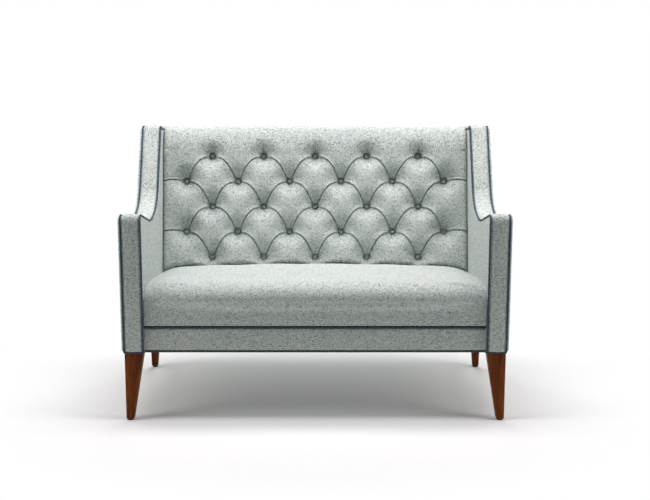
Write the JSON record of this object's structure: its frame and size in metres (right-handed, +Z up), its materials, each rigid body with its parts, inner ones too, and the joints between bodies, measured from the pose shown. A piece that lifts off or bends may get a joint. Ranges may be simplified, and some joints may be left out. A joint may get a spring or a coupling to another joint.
{
  "type": "high back settee",
  "caption": "Two seat upholstered settee with a buttoned high back, piped arms that sweep up into wings and tapered wooden legs.",
  "frame": {"origin": "on the floor, under the middle of the part's box", "axes": "+Z up, +X to the right of someone who faces the settee, +Y towards its back"},
  "size_m": [1.33, 0.799, 0.9629],
  "materials": {
    "tweed": "woven slub tweed, pale duck egg and grey",
    "piping": "woven cotton piping, mid blue",
    "walnut": "satin lacquered walnut",
    "beech": "planed beech, bare",
    "steel": "zinc plated steel",
    "jute": "plain woven jute",
    "black_cloth": "black non woven cloth and felt",
    "glide": "dark moulded plastic glide"
  },
  "bodies": {
    "root": {"front_rail": "beech", "back_rail": "beech", "side_rail_left": "beech", "side_rail_right": "beech", "centre_rail": "beech", "corner_blocks": "beech", "block_screws": "steel", "arm_post_left": "beech", "arm_post_right": "beech", "arm_rail_left": "beech", "arm_rail_right": "beech", "wing_board_left": "beech", "wing_board_right": "beech", "back_post_left": "beech", "back_post_right": "beech", "back_top_rail": "beech", "back_lower_rail": "beech", "back_uprights": "beech", "dowels": "beech", "leg_front_left": "walnut", "leg_front_right": "walnut", "leg_back_left": "walnut", "leg_back_right": "walnut", "leg_plates": "steel", "leg_bolts": "steel", "glides": "glide", "seat_springs": "steel", "spring_clips": "steel", "seat_hessian": "jute", "seat_felt": "black_cloth", "back_webbing": "jute", "back_hessian": "jute", "dust_cover": "black_cloth", "seat_cushion": "tweed", "back_cushion": "tweed", "back_top_roll": "tweed", "buttons": "tweed", "inside_arm_left": "tweed", "inside_arm_right": "tweed", "outside_arm_left": "tweed", "outside_arm_right": "tweed", "arm_band_left": "tweed", "arm_band_right": "tweed", "outside_back": "tweed", "front_border": "tweed", "arm_piping_inner_left": "piping", "arm_piping_inner_right": "piping", "arm_piping_outer_left": "piping", "arm_piping_outer_right": "piping", "seat_piping": "piping", "base_piping": "piping"}
  },
  "joints": []
}
